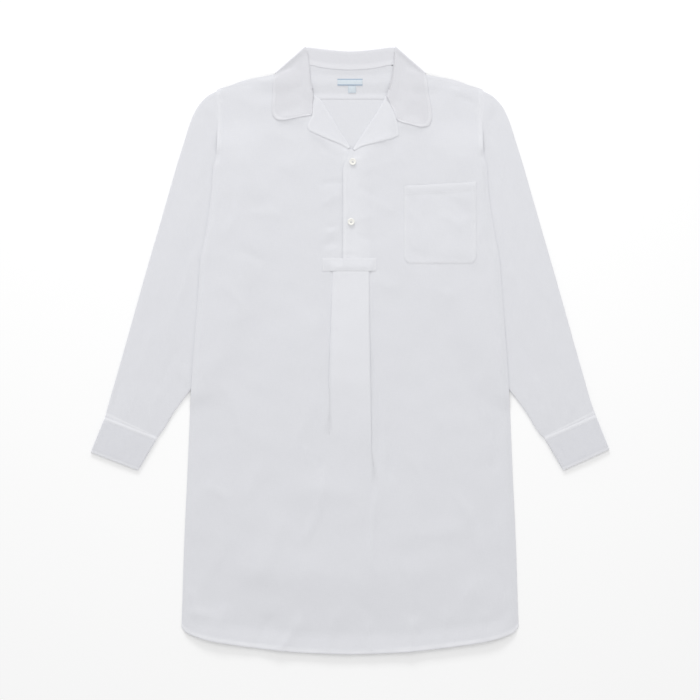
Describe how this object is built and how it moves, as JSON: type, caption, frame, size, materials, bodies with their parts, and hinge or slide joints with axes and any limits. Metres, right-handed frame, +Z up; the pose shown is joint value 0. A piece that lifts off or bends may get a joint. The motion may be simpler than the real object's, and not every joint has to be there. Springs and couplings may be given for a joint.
{
  "type": "nightshirt",
  "caption": "Long-sleeved popover nightshirt laid flat, with a camp collar, a buttoned half placket over a raised box pleat and a chest pocket.",
  "frame": {"origin": "middle of the garment's outline, on the surface that it lies on", "axes": "+Z up out of the front, +Y from hem to neck, +X towards the wearer's left"},
  "size_m": [0.9334, 1.0936, 0.0093],
  "materials": {
    "cotton": "white plain-weave cotton",
    "collar_cotton": "white plain-weave cotton, interlined",
    "label_weave": "white damask label with a pale blue border",
    "button_shell": "pearly, glossy"
  },
  "bodies": {
    "root": {"back": "cotton", "yoke": "cotton", "front": "cotton", "sleeve_left": "cotton", "sleeve_right": "cotton", "cuff_left": "cotton", "cuff_right": "cotton", "collar": "collar_cotton", "lapel_left": "cotton", "lapel_right": "cotton", "pocket": "cotton", "placket_tab": "cotton", "label": "label_weave", "size_tab": "label_weave", "button_1": "button_shell", "button_2": "button_shell"}
  },
  "joints": []
}
